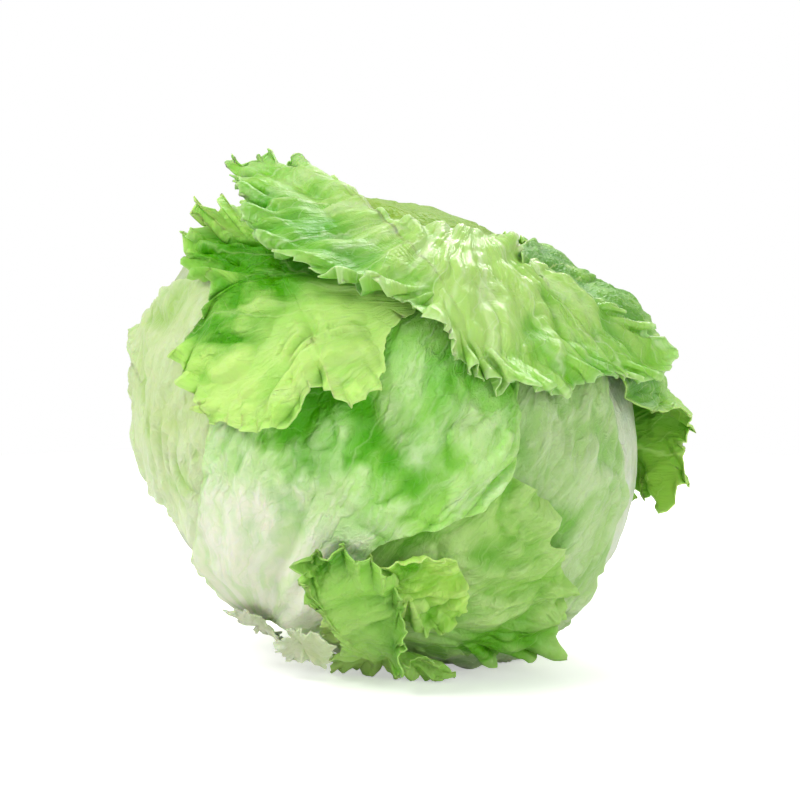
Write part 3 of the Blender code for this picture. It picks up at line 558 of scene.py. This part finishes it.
def leaf_sheet(leaf, look, seed, above):
    """The fine sheet of a leaf as grids of points, plane coordinates and masks over t and s.

    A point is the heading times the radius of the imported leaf's outer face, plus the relief of the
    blade, plus waves that grow towards the margin: sines of a run along the margin that noise makes
    uneven, outward, with sines of twice the run along the margin, so that high waves fold over.
    Where the margin rolls, its last stretch follows an arc that turns outward."""
    columns, rows = look["grid"]
    t, s = disc(columns, rows)
    s = 1 - (1 - s) ** ROW_CROWDING
    margin = unit(round_loop(leaf.edge, t)[..., :3])
    wild = np.maximum(1 + hills(margin, look["wild"]), 0.1)
    reach = leaf.directions(t, s)[1] * EQUATOR_RADIUS
    cut = cut_margin(leaf, look, t, margin, wild, seed)
    s = s - cut / reach * ease(1 - (1 - s) * reach / np.minimum(CUT_ZONE + 1.5 * np.abs(cut), 0.8 * reach))
    d, angle, away = leaf.directions(t, s)
    side = np.cross(d, away)
    bearing, far = leaf.fan_place(d)
    q = EQUATOR_RADIUS * np.radians(far)[..., None] * polar(bearing, 0 * bearing)
    ray = polar(bearing, np.radians(far))
    inward = (1 - s) * reach - cut
    detail = crumple(look, d, q, bearing, far, seed)
    hidden = cover(d, above)
    detail = detail - hidden * np.maximum(detail - COVERED_RELIEF, 0)

    length, high, zone, fold = look["frill"]
    waves = max(round(leaf.length * 1000 / length), 2)
    run = 2 * np.pi * (waves * t + 0.5 * cloud(margin * 7 + seed, seed + 11))
    quick = 2 * np.pi * (round(2.6 * waves) * t + 0.5 * cloud(margin * 15, seed + 13))
    height = 0.001 * high * wild * (0.8 + 0.7 * cloud(margin * 6, seed + 12))
    near = height * ease(1 - inward / (0.001 * zone))
    close = height * ease(1 - inward / (0.00045 * zone))
    up = near * (0.4 + 0.8 * np.sin(run)) + close * (0.15 + 0.35 * np.sin(quick))
    up = up - hidden * np.maximum(up - COVERED_RELIEF, 0)
    along = fold * (0.5 * near * np.sin(2 * run + 0.4) + 0.25 * close * np.sin(2 * quick))

    turn = np.radians(hills(margin, look["rolls"]))
    stretch = 0.001 * look["roll_reach"]
    bent = np.clip(stretch - inward, 0, stretch)
    arc = stretch / np.maximum(np.abs(turn), 0.02)
    live = np.abs(turn) > 0.03
    rolled = np.where(live, arc * np.sin(bent / arc) - bent, 0)
    raised = np.where(live, arc * (1 - np.cos(bent / arc)) * np.sign(turn), 0)

    thick = leaf.thickness(d)
    r = leaf.radius(t, s, d, angle) + thick - 0.5 * SHEET + detail + up
    r = r - 0.001 * hills(margin, look["tucks"]) * ease(1 - inward / TUCK_ZONE)
    r = np.maximum(r, over_grid(leaf.lying, t, s) + SHEET)
    r = above_floor(r, d, SHEET) + raised
    p = d * r[..., None] + away * rolled[..., None] + side * along[..., None] + CENTRE
    p[..., 2] = np.maximum(p[..., 2], 0.6 * SHEET)
    start, end = look["turn"]
    # Pale spots: partly the leaf's own paler tone, partly painted light on lit folds and on parts brightened
    # against their shade.
    green = ease((far - start) / (end - start)) - hills(d, look["pale_and_painted_light"])
    # Painted shade: deep green where shade falls, in hollows, pockets and under other leaves.
    deep = hills(d, look["painted_shade"])
    rim = np.exp(-inward / RIM_WIDTH)
    relief = 0.5 + (detail + 0.5 * up) / RELIEF_SPAN
    gloss = hills(d, look["gloss"])
    return p, q, ray, {"green": green, "deep": deep, "rim": rim, "relief": relief, "gloss": gloss}


def core_sheet():
    """The surface of the dense heart: the heart's radius over all headings, t once round the stem and s
    from the stem's end to the far end, with creases that run from end to end."""
    t, s = disc(96, 60)
    turn, angle = 2 * np.pi * t, np.pi * s
    d = np.cos(angle)[..., None] * STEM + np.sin(angle)[..., None] * around(STEM, turn)
    q = EQUATOR_RADIUS * angle[..., None] * polar(turn, 0 * t)
    ray = polar(turn, angle)
    crease = CORE_CREASE * (np.abs(cloud(ray * [5, 5, 1.2], 31)) - 0.4) * np.sin(angle)
    p = d * (core_radius(d) + crease)[..., None] + CENTRE
    # The heart is painted deep green almost all over: painted shade, as it lies in shade under the leaves.
    return p, q, ray, {"green": ease(angle / 2), "deep": 0.9 + 0 * t, "rim": 0 * t,
                       "relief": 0.5 + 0.5 * crease / CORE_CREASE, "gloss": 0 * t}


def sheet_object(name, grids, closed=False):
    """Mesh of a disc of points: the first row is one point, the rows close round, and on a closed
    surface the last row is one point too."""
    p, q, ray, masks = grids
    columns, rows = p.shape[:2]
    rings = rows - 2 if closed else rows - 1

    def flat(grid):
        body = np.swapaxes(grid[:, 1:1 + rings], 0, 1).reshape(columns * rings, -1)
        ends = [grid[:, k].reshape(columns, -1).mean(0) for k in ((0, -1) if closed else (0,))]
        return np.vstack([ends[0], body, *ends[1:]])

    i, j = np.meshgrid(np.arange(columns), np.arange(rings - 1), indexing="ij")
    here = 1 + j * columns + i
    after = 1 + j * columns + (i + 1) % columns
    quads = np.stack([here, after, after + columns, here + columns], -1).reshape(-1, 4)
    first = np.arange(columns)
    second = (first + 1) % columns
    tips = np.stack([np.zeros(columns, int), 1 + second, 1 + first], -1)
    if closed:
        last = 1 + (rings - 1) * columns
        ends = np.stack([np.full(columns, last + columns), last + first, last + second], -1)
        tips = np.vstack([tips, ends])
    points = flat(p)
    a, b, c = (points[quads[:, k]] for k in (0, 1, 2))
    if (np.cross(b - a, c - a) * (a - CENTRE)).sum() < 0:
        quads, tips = quads[:, ::-1], tips[:, ::-1]
    mesh = bpy.data.meshes.new(name)
    mesh.from_pydata(points, [], tips.tolist() + quads.tolist())
    mesh.polygons.foreach_set("use_smooth", np.ones(len(mesh.polygons), bool))
    corner = np.zeros(len(mesh.loops), int)
    mesh.loops.foreach_get("vertex_index", corner)
    spread = mesh.uv_layers.new(name="spread")
    spread.data.foreach_set("uv", (flat(q)[corner, :2] * 100).astype(np.float32).ravel())
    rays = mesh.attributes.new("ray", "FLOAT_VECTOR", "POINT")
    rays.data.foreach_set("vector", flat(ray).astype(np.float32).ravel())
    for label, grid in masks.items():
        value = np.clip(flat(grid), 0, 1).astype(np.float32)
        mesh.attributes.new(label, "FLOAT", "POINT").data.foreach_set("value", value.ravel())
    mesh.update()
    obj = bpy.data.objects.new(name, mesh)
    bpy.context.scene.collection.objects.link(obj)
    if not closed:
        solid = obj.modifiers.new("sheet", "SOLIDIFY")
        solid.thickness = SHEET
        solid.offset = 0
    return obj


def linear(colour):
    """Scene colour of an sRGB colour of 0 to 255."""
    c = np.array(colour) / 255
    return (*np.where(c <= 0.04045, c / 12.92, ((c + 0.055) / 1.055) ** 2.4), 1)


def add_node(tree, kind, **settings):
    """New node with these settings."""
    node = tree.nodes.new("ShaderNode" + kind)
    for key, value in settings.items():
        setattr(node, key, value)
    return node


def wire(*pairs):
    """Links each output to its input."""
    for source, target in pairs:
        target.id_data.links.new(source, target)


def math_node(operation, a, b, clamp=False):
    """Value of an operation on two sockets or numbers."""
    tree = (b if isinstance(a, (int, float)) else a).id_data
    node = add_node(tree, "Math", operation=operation, use_clamp=clamp)
    for socket, value in zip(node.inputs, (a, b)):
        if isinstance(value, (int, float)):
            socket.default_value = value
        else:
            wire((value, socket))
    return node.outputs[0]


def times(a, b, clamp=False):
    return math_node("MULTIPLY", a, b, clamp)


def plus(a, b):
    return math_node("ADD", a, b)


def less(a, b, clamp=False):
    return math_node("SUBTRACT", a, b, clamp)


def ranged(value, low, high, start=0.0, end=1.0):
    """Smooth step of a value from low to high, brought to start to end."""
    node = add_node(value.id_data, "MapRange", interpolation_type="SMOOTHSTEP")
    for socket, number in zip(node.inputs[1:5], (low, high, start, end)):
        socket.default_value = number
    wire((value, node.inputs[0]))
    return node.outputs[0]


def mix_colour(share, a, b):
    """Colour a, with this share of colour b."""
    node = add_node(share.id_data, "Mix", data_type="RGBA")
    for socket, value in ((node.inputs[0], share), (node.inputs[6], a), (node.inputs[7], b)):
        if isinstance(value, tuple):
            socket.default_value = value
        else:
            wire((value, socket))
    return node.outputs[2]


def noise(vector, scale, detail, seed=None):
    """Noise over a vector, 4-D with its own seed where one is given."""
    node = add_node(vector.id_data, "TexNoise", noise_dimensions="3D" if seed is None else "4D")
    node.inputs["Scale"].default_value = scale
    node.inputs["Detail"].default_value = detail
    wire((vector, node.inputs["Vector"]))
    if seed is not None:
        wire((seed, node.inputs["W"]))
    return node


def ridged(vector, scale, detail, seed):
    """Noise with sharp ridges, about 0 in the hollows and 1 on a ridge."""
    node = noise(vector, scale, detail, seed)
    node.noise_type = "RIDGED_MULTIFRACTAL"
    node.inputs["Roughness"].default_value = 0.55
    node.inputs["Gain"].default_value = 1.6
    return ranged(node.outputs["Fac"], 0.9, 1.9)


def stretched(vector, factors):
    """Vector with each of its parts times its factor."""
    node = add_node(vector.id_data, "VectorMath", operation="MULTIPLY")
    node.inputs[1].default_value = factors
    wire((vector, node.inputs[0]))
    return node.outputs[0]


def new_group(name, inputs, outputs):
    """Node group with named sockets: inputs are (kind, name, value)."""
    group = bpy.data.node_groups.new(name, "ShaderNodeTree")
    for kind, label, value in inputs:
        socket = group.interface.new_socket(label, in_out="INPUT", socket_type="NodeSocket" + kind)
        if value is not None:
            socket.default_value = value
    for kind, label in outputs:
        group.interface.new_socket(label, in_out="OUTPUT", socket_type="NodeSocket" + kind)
    return group, group.nodes.new("NodeGroupInput").outputs, group.nodes.new("NodeGroupOutput").inputs


def vein_group():
    """Branching veins, 1 on a vein and 0 away from it. Main veins lie at whole steps of the bearing round
    the fan, and side veins leave them slantwise at whole steps of the distance, thinner and broken up;
    noise bends both."""
    group, given, result = new_group(
        "leaf_veins", [("Vector", "Spread", None), ("Vector", "Ray", None), ("Float", "Seed", 0.0)],
        [("Float", "Branches")])
    bend = noise(given["Spread"], 0.55, 3, given["Seed"])
    parts = add_node(group, "SeparateColor")
    ray = add_node(group, "SeparateXYZ")
    wire((bend.outputs["Color"], parts.inputs[0]), (given["Ray"], ray.inputs[0]))
    bearing = math_node("ARCTAN2", ray.outputs["Y"], ray.outputs["X"])
    turns = plus(times(bearing, MAIN_VEINS / (2 * np.pi)), times(parts.outputs[0], 1.1))
    across = times(math_node("PINGPONG", turns, 0.5), 2.0)
    main = ranged(across, 0.0, 0.07, 1.0, 0.0)
    outward = plus(times(ray.outputs["Z"], SIDE_VEINS), times(parts.outputs[1], 1.6))
    slant = less(outward, times(across, 1.9))
    along = times(math_node("PINGPONG", slant, 0.5), 2.0)
    side = ranged(along, 0.0, 0.13, 1.0, 0.0)
    broken = ranged(noise(given["Spread"], 1.4, 1, given["Seed"]).outputs["Fac"], 0.42, 0.56)
    side = times(times(side, broken), 0.65)
    grown = ranged(ray.outputs["Z"], 0.12, 0.45)
    wire((times(math_node("MAXIMUM", main, side), grown), result["Branches"]))
    return group


def skin_group(veins):
    """Skin of a leaf: pale at its base and green beyond, with painted shade that deepens the green in the
    hollows of the relief and in the shade spots, with pale streaks and veins that spread like a fan, mottled
    green, a light rim, and the creased, slightly waxy surface."""
    group, given, result = new_group(
        "leaf_skin",
        [("Vector", "Spread", None), ("Vector", "Ray", None), ("Float", "Green Share", 0.5),
         ("Float", "Painted Shade", 0.0), ("Float", "Rim", 0.0), ("Float", "Relief", 0.5),
         ("Float", "Gloss", 0.0),
         ("Color", "Pale", (0.8, 0.9, 0.6, 1)), ("Color", "Green", (0.3, 0.6, 0.1, 1)),
         ("Color", "Deep", (0.2, 0.5, 0.05, 1)), ("Color", "Vein", (0.6, 0.8, 0.4, 1)),
         ("Float", "Rib Strength", 0.6), ("Float", "Vein Strength", 0.5), ("Float", "Mottle", 0.5),
         ("Float", "Seed", 0.0)],
        [("Color", "Colour"), ("Float", "Roughness"), ("Float", "Height")])
    spread, seed, green, vein = (given[label] for label in ("Spread", "Seed", "Green Share", "Vein"))
    net = add_node(group, "Group", node_tree=veins)
    wire(*((given[label], net.inputs[label]) for label in ("Spread", "Ray", "Seed")))
    branches = net.outputs["Branches"]

    bend = add_node(group, "VectorMath", operation="MULTIPLY_ADD")
    bend.inputs[1].default_value = (0.3, 0.3, 0.3)
    wire((noise(spread, 0.5, 3, seed).outputs["Color"], bend.inputs[0]),
         (given["Ray"], bend.inputs[2]))

    def streaks(factors, detail):
        """Noise that is drawn out along the bent rays of the fan."""
        return noise(stretched(bend.outputs[0], factors), 1, detail, seed).outputs["Fac"]

    ribs = ranged(streaks((8, 8, 1.6), 2), 0.50, 0.66)
    fine = ranged(streaks((26, 26, 5), 4), 0.40, 0.64)
    mottle = noise(spread, 0.8, 4, seed).outputs["Fac"]
    patch = times(less(mottle, 0.5), given["Mottle"])
    # Painted shade in the creases: the blade turns greener and deeper where the relief is low.
    crease_shade = less(0.5, given["Relief"])

    share = plus(plus(green, patch), times(crease_shade, 0.35))
    share = less(share, times(fine, 0.22), True)
    blade = mix_colour(share, given["Pale"], given["Green"])
    # Share of the deep colour: painted shade from the shade spots and the hollows of the relief, with darker
    # streaks and mottling of the blade's own tone.
    depth = plus(given["Painted Shade"], times(crease_shade, 0.7))
    broad = streaks((4.5, 4.5, 2), 3)
    depth = plus(depth, ranged(broad, 0.35, 0.7, -0.25, 0.5))
    depth = plus(depth, times(patch, 0.9))
    depth = less(depth, times(fine, 0.12), True)
    depth = times(depth, ranged(green, 0.0, 0.5, 0.25, 1.0))
    blade = mix_colour(depth, blade, given["Deep"])
    ridge = ridged(spread, 0.9, 3, seed)
    open_green = times(green, less(1.0, given["Painted Shade"], True))
    lit = times(times(ridge, given["Vein Strength"]), open_green, True)
    blade = mix_colour(lit, blade, vein)
    near = less(1.1, green, True)
    ribs = times(times(ribs, given["Rib Strength"]), ranged(near, 0.0, 1.0, 0.3, 0.9))
    blade = mix_colour(ribs, blade, vein)
    blade = mix_colour(times(branches, given["Vein Strength"]), blade, vein)
    blade = mix_colour(times(given["Rim"], 0.5), blade, vein)
    wire((blade, result["Colour"]))

    grain = noise(spread, 5.5, 4).outputs["Fac"]
    rough = plus(ranged(given["Gloss"], 0.0, 1.0, 0.32, 0.10), times(grain, 0.16))
    wire((plus(rough, times(patch, 0.2)), result["Roughness"]))
    height = plus(times(grain, 0.8), times(branches, 0.2))
    height = plus(height, times(fine, 0.5))
    height = plus(height, times(ridge, 0.9))
    height = times(height, ranged(green, 0.0, 0.6, 0.35, 1.0))
    wire((height, result["Height"]))
    return group


def new_material(name):
    """Material, its tree and its Principled shader."""
    material = bpy.data.materials.new(name)
    material.use_nodes = True
    return material, material.node_tree, material.node_tree.nodes["Principled BSDF"]


def add_bump(shader, height, strength, distance):
    """Relief of the surface from a height."""
    bump = add_node(shader.id_data, "Bump")
    bump.inputs["Strength"].default_value = strength
    bump.inputs["Distance"].default_value = distance
    wire((height, bump.inputs["Height"]), (bump.outputs["Normal"], shader.inputs["Normal"]))


def leaf_material(name, look, skin, seed):
    """Translucent leaf tissue with the skin group's colour, gloss and relief."""
    material, tree, shader = new_material(name + "_tissue")
    node = add_node(tree, "Group", node_tree=skin)
    spread = add_node(tree, "UVMap", uv_map="spread")
    ray = add_node(tree, "Attribute", attribute_name="ray")
    wire((spread.outputs["UV"], node.inputs["Spread"]), (ray.outputs["Vector"], node.inputs["Ray"]))
    for label, socket in (("green", "Green Share"), ("deep", "Painted Shade"), ("rim", "Rim"),
                          ("relief", "Relief"), ("gloss", "Gloss")):
        mask = add_node(tree, "Attribute", attribute_name=label)
        wire((mask.outputs["Fac"], node.inputs[socket]))
    for key in ("pale", "green", "deep", "vein"):
        node.inputs[key.capitalize()].default_value = linear(look[key])
    for socket, value in (("Rib Strength", look["ribs"]), ("Vein Strength", look["veins"]),
                          ("Mottle", MOTTLE), ("Seed", seed)):
        node.inputs[socket].default_value = value
    wire((node.outputs["Colour"], shader.inputs["Base Color"]),
         (node.outputs["Roughness"], shader.inputs["Roughness"]))
    add_bump(shader, node.outputs["Height"], look["bump"], 0.0011)
    for socket, value in (("Subsurface Weight", 0.5), ("Subsurface Radius", (0.6, 1.0, 0.25)),
                          ("Subsurface Scale", 0.0008), ("Specular IOR Level", look["shine"])):
        shader.inputs[socket].default_value = value
    return material


def stem_sheet():
    """The cut stump of the stem: an outline round the stem's axis with shallow flutes, t once round, and
    along s the profile of inner face, flank, rounded rim and cut face, which is dished and ringed."""
    t, s = disc(72, 40)
    turn = 2 * np.pi * t
    face = ease((s - 0.55) / 0.1)
    stops = [0, 0.2, 0.5, 0.62, 1]
    out = np.interp(s, stops, [0, 1, 0.93, 0.86, 0])
    tall = np.interp(s, stops, [STEM_INNER, STEM_INNER, STEM_OUTER - STEM_RIM, STEM_OUTER,
                                STEM_OUTER - STEM_DISH])
    flutes = 1 + 0.035 * np.cos(7 * turn + 0.6) + 0.02 * np.cos(13 * turn)
    radius = STEM_RADIUS * 0.96 * out * flutes
    tall = tall + 0.0002 * face * np.cos(out * 26 + 0.5 * np.cos(3 * turn))
    p = STEM * tall[..., None] + around(STEM, turn) * radius[..., None] + CENTRE
    q = radius[..., None] * polar(turn, 0 * t)
    return p, q, polar(turn, out), {"cut": face * (1 - 0.5 * out)}


def stem_material():
    """Moist cut stem: cream with a fine grain, browned in blotches on the cut face, most towards its middle.
    """
    material, tree, shader = new_material("cut_stem")
    place = add_node(tree, "TexCoord").outputs["Object"]
    blotch = noise(place, 260, 4).outputs["Fac"]
    grain = noise(place, 1400, 2).outputs["Fac"]
    cut = add_node(tree, "Attribute", attribute_name="cut").outputs["Fac"]
    brown = times(ranged(blotch, 0.45, 0.65), cut)
    cream = mix_colour(times(grain, 0.4), linear((232, 234, 208)), linear((206, 216, 168)))
    colour = mix_colour(brown, cream, linear((186, 142, 96)))
    wire((colour, shader.inputs["Base Color"]),
         (ranged(grain, 0.3, 0.7, 0.35, 0.6), shader.inputs["Roughness"]))
    add_bump(shader, grain, 0.5, 0.0004)
    return material


def place_piece(piece, node, material):
    """Takes the material, rides with the body and hides the node that it stands for."""
    piece.data.materials.append(material)
    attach(piece, "root")
    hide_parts(node)


def dress_head():
    """A fine sheet for each leaf, and finer surfaces for the heart and the stem."""
    skin = skin_group(vein_group())
    leaves = [Leaf(*row) for row in LEAVES]
    lay_leaves(leaves)
    for seed, leaf in enumerate(leaves):
        look = {**USUAL, **LOOKS[leaf.name]}
        piece = sheet_object(leaf.name + "_sheet", leaf_sheet(leaf, look, seed, leaves[seed + 1:]))
        place_piece(piece, leaf.name, leaf_material(leaf.name, look, skin, seed))
    heart = sheet_object("heart_surface", core_sheet(), closed=True)
    place_piece(heart, "heart", leaf_material("heart", {**USUAL, **HEART_LOOK}, skin, len(leaves)))
    stump = sheet_object("stem_stump", stem_sheet(), closed=True)
    place_piece(stump, "stem", stem_material())


def add_light(name, place, aim, size, power):
    """White rectangular light at a place, turned towards its aim."""
    data = bpy.data.lights.new(name, "AREA")
    data.shape = "RECTANGLE"
    data.size, data.size_y = size
    data.energy = power
    light = bpy.data.objects.new(name, data)
    bpy.context.scene.collection.objects.link(light)
    light.location = place
    light.rotation_euler = (Vector(aim) - Vector(place)).to_track_quat("-Z", "Y").to_euler()


def studio():
    """White surround that is dimmer in front, the three lights, a pale round floor that brightens into the
    surround away from the head, and the camera."""
    scene = bpy.context.scene
    world = bpy.data.worlds.new("surround")
    scene.world = world
    world.use_nodes = True
    tree = world.node_tree
    soft = tree.nodes["Background"]
    soft.inputs["Color"].default_value = (1, 1, 1, 1)
    place = add_node(tree, "SeparateXYZ")
    wire((add_node(tree, "TexCoord").outputs["Generated"], place.inputs[0]),
         (ranged(place.outputs["Y"], -0.9, 0.5, WORLD_FRONT, WORLD_BACK), soft.inputs["Strength"]))
    seen = add_node(tree, "Background")
    seen.inputs["Strength"].default_value = 1.0
    seen.inputs["Color"].default_value = (1, 1, 1, 1)
    path = add_node(tree, "LightPath")
    choice = add_node(tree, "MixShader")
    wire((path.outputs["Is Camera Ray"], choice.inputs[0]), (soft.outputs[0], choice.inputs[1]),
         (seen.outputs[0], choice.inputs[2]),
         (choice.outputs[0], tree.nodes["World Output"].inputs["Surface"]))

    for light in LIGHTS:
        add_light(*light)

    angle = np.linspace(0, 2 * np.pi, FLOOR_SIDES, endpoint=False)
    mesh = bpy.data.meshes.new("floor")
    mesh.from_pydata(FLOOR_RADIUS * polar(angle, 0 * angle), [], [list(range(FLOOR_SIDES))])
    floor = bpy.data.objects.new("floor", mesh)
    scene.collection.objects.link(floor)
    paint, tree, shader = new_material("pale_floor")
    place = add_node(tree, "TexCoord").outputs["Object"]
    away = add_node(tree, "VectorMath", operation="LENGTH")
    wire((place, away.inputs[0]))
    glow = times(ranged(away.outputs["Value"], 0.1, 0.3, FLOOR_GLOW, 1.0),
                 add_node(tree, "LightPath").outputs["Is Camera Ray"])
    wire((glow, shader.inputs["Emission Strength"]))
    shader.inputs["Emission Color"].default_value = (1, 1, 1, 1)
    shader.inputs["Base Color"].default_value = (0.93, 0.93, 0.92, 1)
    shader.inputs["Roughness"].default_value = 0.6
    mesh.materials.append(paint)

    camera_data = bpy.data.cameras.new("view")
    camera_data.lens = LENS
    camera_data.sensor_width = SENSOR
    camera_data.clip_end = 30
    camera = bpy.data.objects.new("view", camera_data)
    scene.collection.objects.link(camera)
    scene.camera = camera
    rise = np.radians(VIEW_ELEVATION)
    back = Vector((0, -np.cos(rise), np.sin(rise)))
    camera.location = Vector(VIEW_AIM) + back * (VIEW_WIDTH * LENS / SENSOR)
    camera.rotation_euler = (-back).to_track_quat("-Z", "Y").to_euler()
    scene.view_settings.view_transform = "Standard"


dress_head()
studio()
